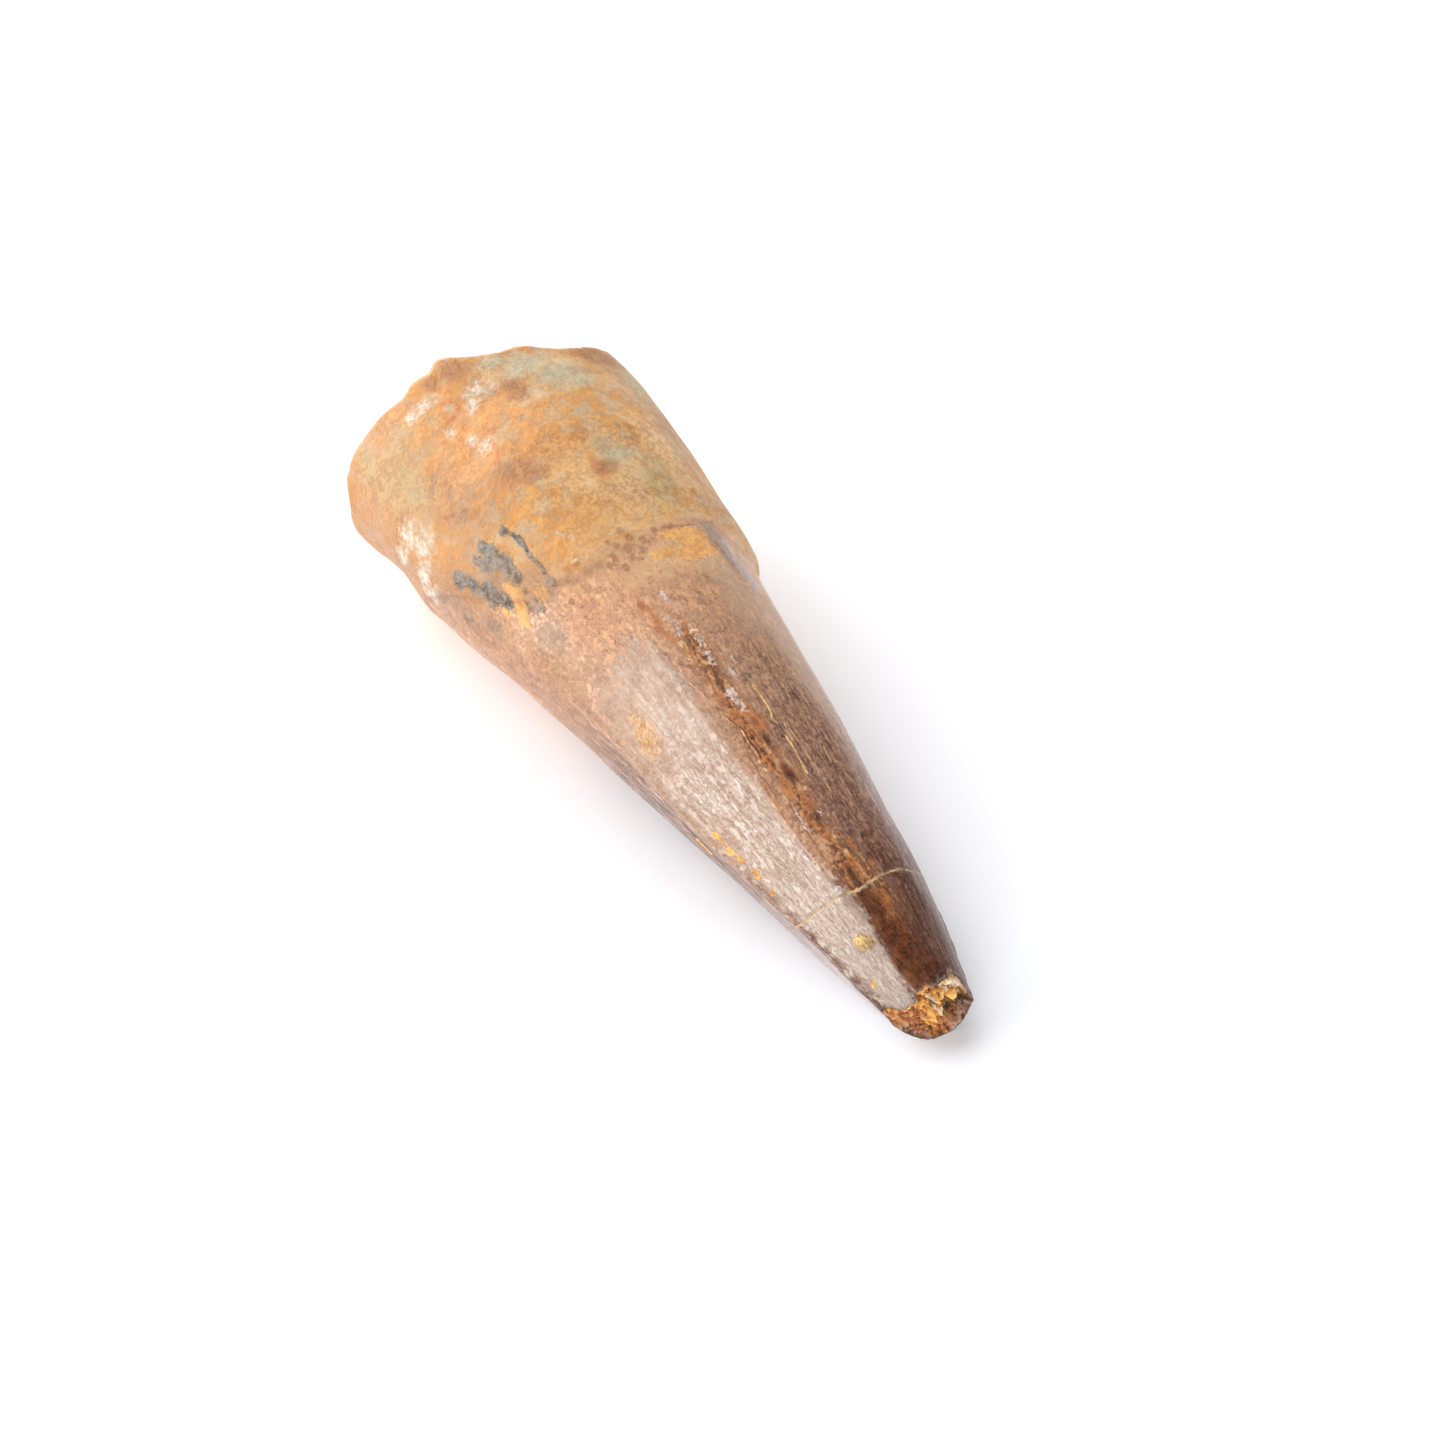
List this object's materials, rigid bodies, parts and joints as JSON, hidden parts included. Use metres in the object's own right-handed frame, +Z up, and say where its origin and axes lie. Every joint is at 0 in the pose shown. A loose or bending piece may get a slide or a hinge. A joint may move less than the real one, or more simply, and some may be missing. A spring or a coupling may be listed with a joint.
{
  "type": "fossil dinosaur tooth",
  "caption": "Fossil dinosaur tooth lying on its side: a tapering enamel crown with a broken tip, on a long broken-off root.",
  "frame": {"origin": "under the middle of the tooth's box, on the surface that the tooth lies on", "axes": "+X along the tooth from the broken root end to the broken tip, +Z up as the tooth lies on its side"},
  "size_m": [0.0752, 0.0282, 0.0233],
  "materials": {
    "fossil_tooth": "matt mineral-stained root, brown enamel with a natural satin gloss on the crown"
  },
  "bodies": {
    "root": {"tooth": "fossil_tooth"}
  },
  "joints": []
}
